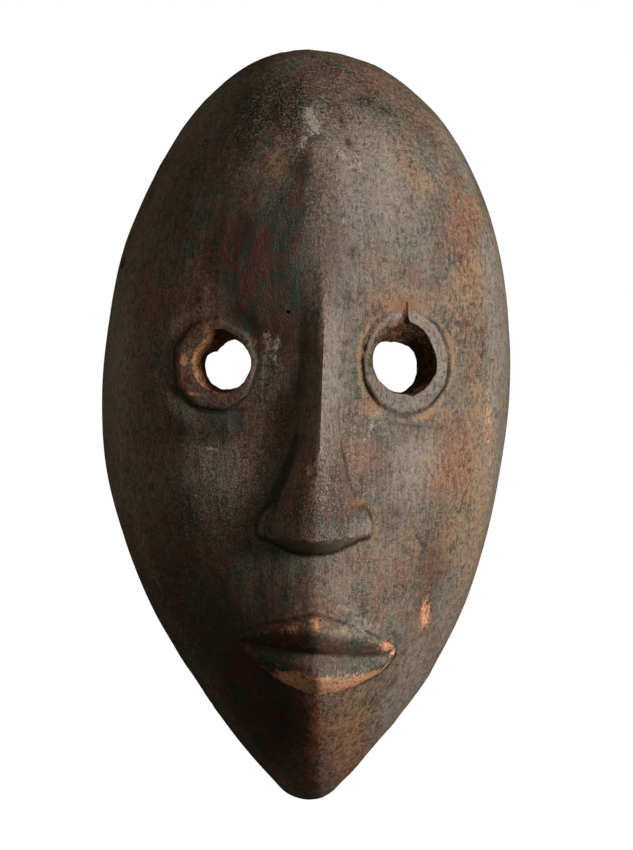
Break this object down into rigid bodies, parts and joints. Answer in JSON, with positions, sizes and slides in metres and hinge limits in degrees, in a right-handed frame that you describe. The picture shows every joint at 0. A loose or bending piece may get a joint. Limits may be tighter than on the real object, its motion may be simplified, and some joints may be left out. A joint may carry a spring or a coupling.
{
  "type": "dan mask",
  "caption": "Carved wooden face mask with round see-through eyes, a ridged forehead, a narrow nose, a lozenge mouth, a pointed chin and a hollow back.",
  "frame": {"origin": "under the middle of the mask's outline, in the plane of its flat rim", "axes": "+Z out of the face, +Y up the face from the chin to the crown, +X across it to the right as a viewer sees the face"},
  "size_m": [0.132, 0.2412, 0.0781],
  "materials": {
    "carved_wood": "dark handled patina, satin, worn to red-brown wood on the edges"
  },
  "bodies": {
    "root": {"mask": "carved_wood"}
  },
  "joints": []
}
